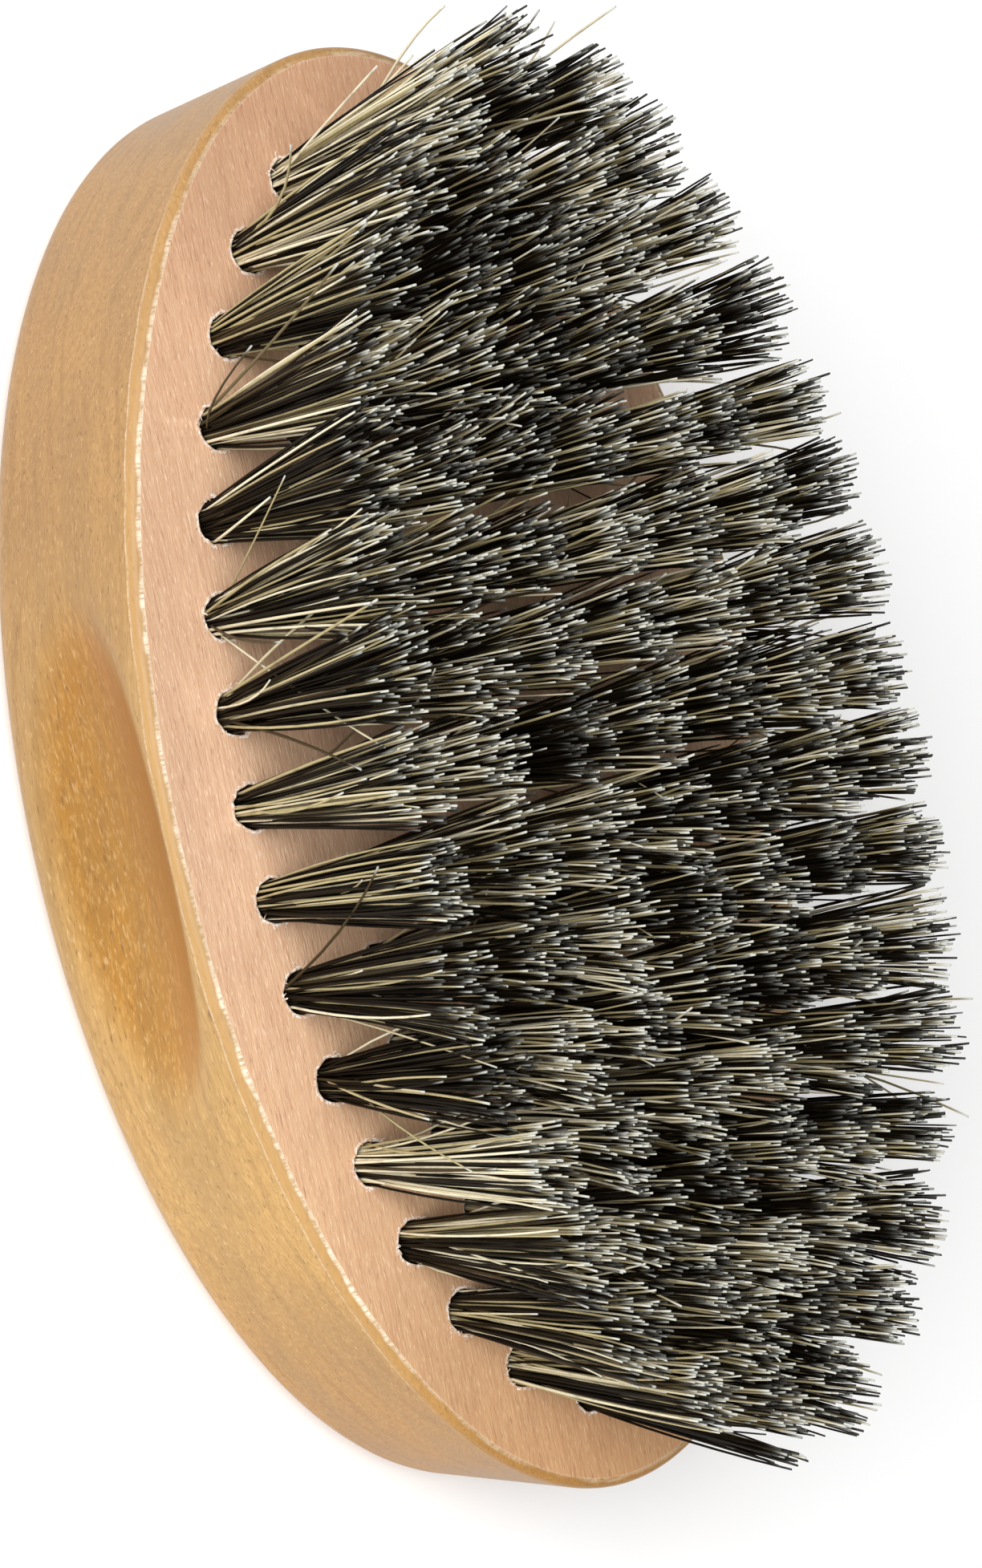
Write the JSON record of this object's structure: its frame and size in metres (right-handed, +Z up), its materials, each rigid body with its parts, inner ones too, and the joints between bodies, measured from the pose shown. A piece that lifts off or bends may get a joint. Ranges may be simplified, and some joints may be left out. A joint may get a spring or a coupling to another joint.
{
  "type": "beard brush",
  "caption": "Oval palm brush: a one-piece wooden block with finger grooves in its sides and rows of natural bristle tufts set in its face.",
  "frame": {"origin": "middle of the block's flat back, on the surface that the brush lies on", "axes": "+X along the block, +Y across it, +Z up along the bristles from the back"},
  "size_m": [0.115, 0.061, 0.044],
  "materials": {
    "wood": "clear satin lacquer on the sides and back, bare sanded wood on the bristle face",
    "bristle": "natural boar bristle, dark to cream, with cut pale tips",
    "anchor_wire": "bare flat steel wire"
  },
  "bodies": {
    "root": {"block": "wood", "tuft_row_01": "bristle", "tuft_row_02": "bristle", "tuft_row_03": "bristle", "tuft_row_04": "bristle", "tuft_row_05": "bristle", "tuft_row_06": "bristle", "tuft_row_07": "bristle", "tuft_row_08": "bristle", "tuft_row_09": "bristle", "tuft_row_10": "bristle", "tuft_row_11": "bristle", "tuft_row_12": "bristle", "tuft_row_13": "bristle", "tuft_row_14": "bristle", "tuft_row_15": "bristle", "tuft_row_16": "bristle"}
  },
  "joints": []
}
